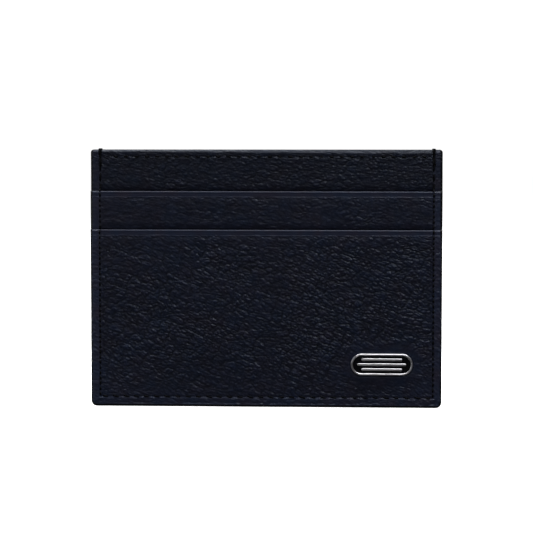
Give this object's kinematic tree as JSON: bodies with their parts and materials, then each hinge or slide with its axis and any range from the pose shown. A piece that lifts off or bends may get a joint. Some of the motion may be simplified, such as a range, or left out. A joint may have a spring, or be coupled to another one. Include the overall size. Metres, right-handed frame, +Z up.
{
  "type": "card holder",
  "caption": "Flat leather card holder with stepped card pockets on both faces, a pocket between them, stitched sides and base, painted edges and a small plain metal badge.",
  "frame": {"origin": "middle of the bottom edge, in the plane between the two faces", "axes": "+X to the right along the width, +Z up to the mouths of the pockets, front face towards -Y"},
  "size_m": [0.1, 0.0069, 0.0737],
  "materials": {
    "leather": "pebble-grained navy, semi-matt",
    "lining": "fine woven, dark",
    "thread": "waxed, near black",
    "edge_paint": "satin edge paint, near black",
    "badge_metal": "polished silver plate",
    "enamel": "black enamel",
    "backing_steel": "plain steel"
  },
  "bodies": {
    "root": {"front_panel": "leather", "back_panel": "leather", "front_upper_pocket": "leather", "back_upper_pocket": "leather", "front_lower_pocket": "leather", "back_lower_pocket": "leather", "front_panel_lining": "lining", "back_panel_lining": "lining", "front_upper_pocket_lining": "lining", "back_upper_pocket_lining": "lining", "perimeter_thread_front": "thread", "perimeter_thread_back": "thread", "top_thread_front": "thread", "top_thread_back": "thread", "front_upper_pocket_thread": "thread", "back_upper_pocket_thread": "thread", "edge_coat_left": "edge_paint", "edge_coat_right": "edge_paint", "edge_coat_bottom": "edge_paint", "badge_plate": "badge_metal", "badge_enamel": "enamel", "badge_backing": "backing_steel"}
  },
  "joints": []
}
